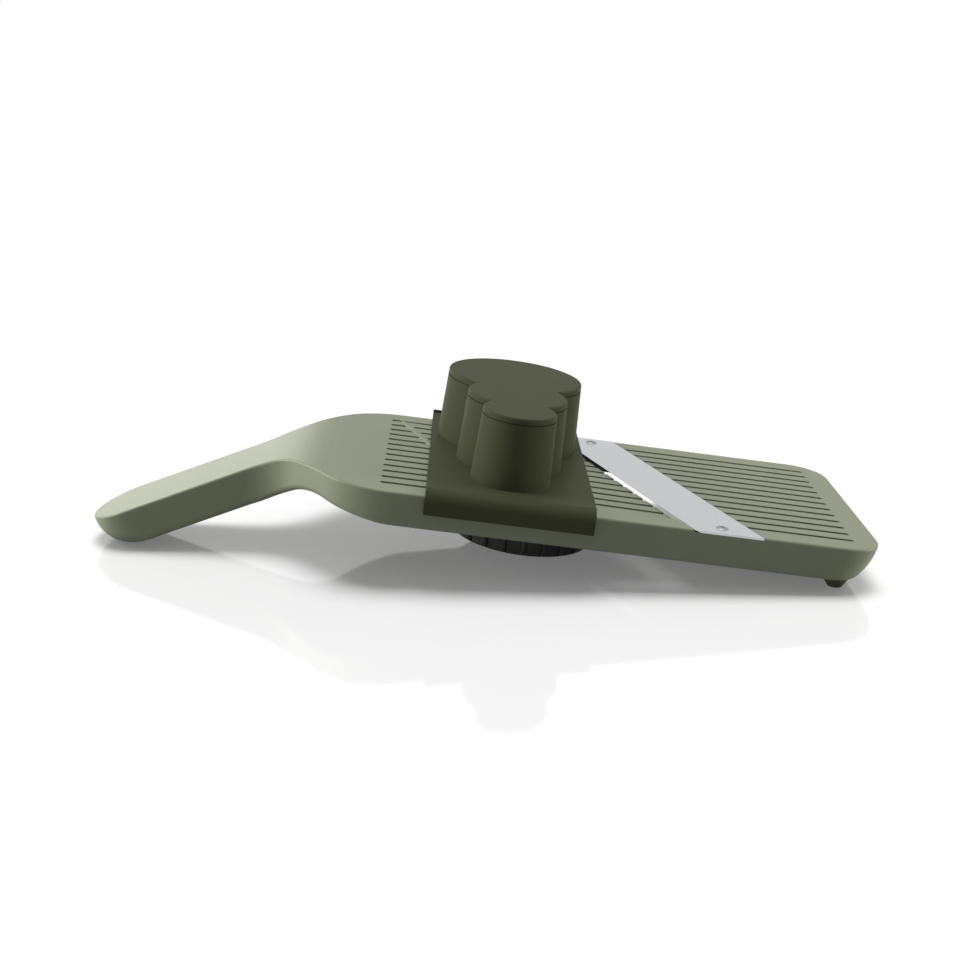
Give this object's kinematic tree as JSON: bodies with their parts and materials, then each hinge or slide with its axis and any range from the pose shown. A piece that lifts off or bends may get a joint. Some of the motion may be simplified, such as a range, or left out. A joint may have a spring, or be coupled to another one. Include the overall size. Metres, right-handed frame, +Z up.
{
  "type": "mandoline slicer",
  "caption": "Hand-held mandoline slicer: ribbed plate with a slanted blade, angled handle, tilting in-feed ramp set by a dial, and a sliding guard with a lobed feed tube and pusher.",
  "frame": {"origin": "bottom centre of the bounding box, on the surface that the three feet stand on", "axes": "+X along the slicer from the handle to the out-feed end, +Y across it, +Z up"},
  "size_m": [0.3646, 0.1356, 0.0797],
  "materials": {
    "sage_plastic": "moulded matt sage green",
    "olive_plastic": "moulded matt dark olive",
    "black_plastic": "moulded matt black",
    "foot_rubber": "matt dark rubber",
    "blade_steel": "satin ground stainless steel",
    "screw_steel": "plain stainless steel",
    "insert_brass": "turned brass"
  },
  "bodies": {
    "housing": {"body": "sage_plastic", "handle_cover": "sage_plastic", "handle_cover_screws": "screw_steel", "handle_foot": "foot_rubber", "front_foot_near": "foot_rubber", "front_foot_far": "foot_rubber", "blade": "blade_steel", "blade_screws": "screw_steel", "blade_inserts": "insert_brass", "ramp_hinge_pin": "screw_steel", "dial_carrier": "black_plastic", "carrier_screws": "screw_steel"},
    "ramp": {"ramp": "sage_plastic", "ramp_follower_pin": "screw_steel"},
    "dial": {"dial_knob": "black_plastic", "dial_cam": "black_plastic", "dial_washer": "screw_steel", "dial_screw": "screw_steel"},
    "guard": {"guard": "olive_plastic", "guard_rail_near": "olive_plastic", "guard_rail_far": "olive_plastic"},
    "pusher": {"pusher_cap": "olive_plastic", "pusher_plunger": "olive_plastic", "pusher_spikes": "screw_steel", "pusher_screws": "screw_steel"}
  },
  "joints": [
    {"name": "guard_slide", "type": "slide", "parent": "housing", "child": "guard", "axis": [0.9934, 0, -0.1143], "range_m": [-0.02, 0.115]},
    {"name": "pusher_lift", "type": "slide", "parent": "guard", "child": "pusher", "axis": [0.1143, 0, 0.9934], "range_m": [0, 0.028]},
    {"name": "dial_turn", "type": "hinge", "parent": "housing", "child": "dial", "pos_m": [0.0241, 0, 0.01772], "axis": [0.1143, 0, 0.9934], "range_deg": [-62, 238]},
    {"name": "ramp_tilt", "type": "hinge", "parent": "housing", "child": "ramp", "pos_m": [-0.01473, 0, 0.04157], "axis": [-0.3882, 0.9205, 0.0447], "range_deg": [-0.89, 3.4]}
  ],
  "couplings": [
    {"joint": "ramp_tilt", "follows": "dial_turn", "ratio": 0.014286}
  ]
}
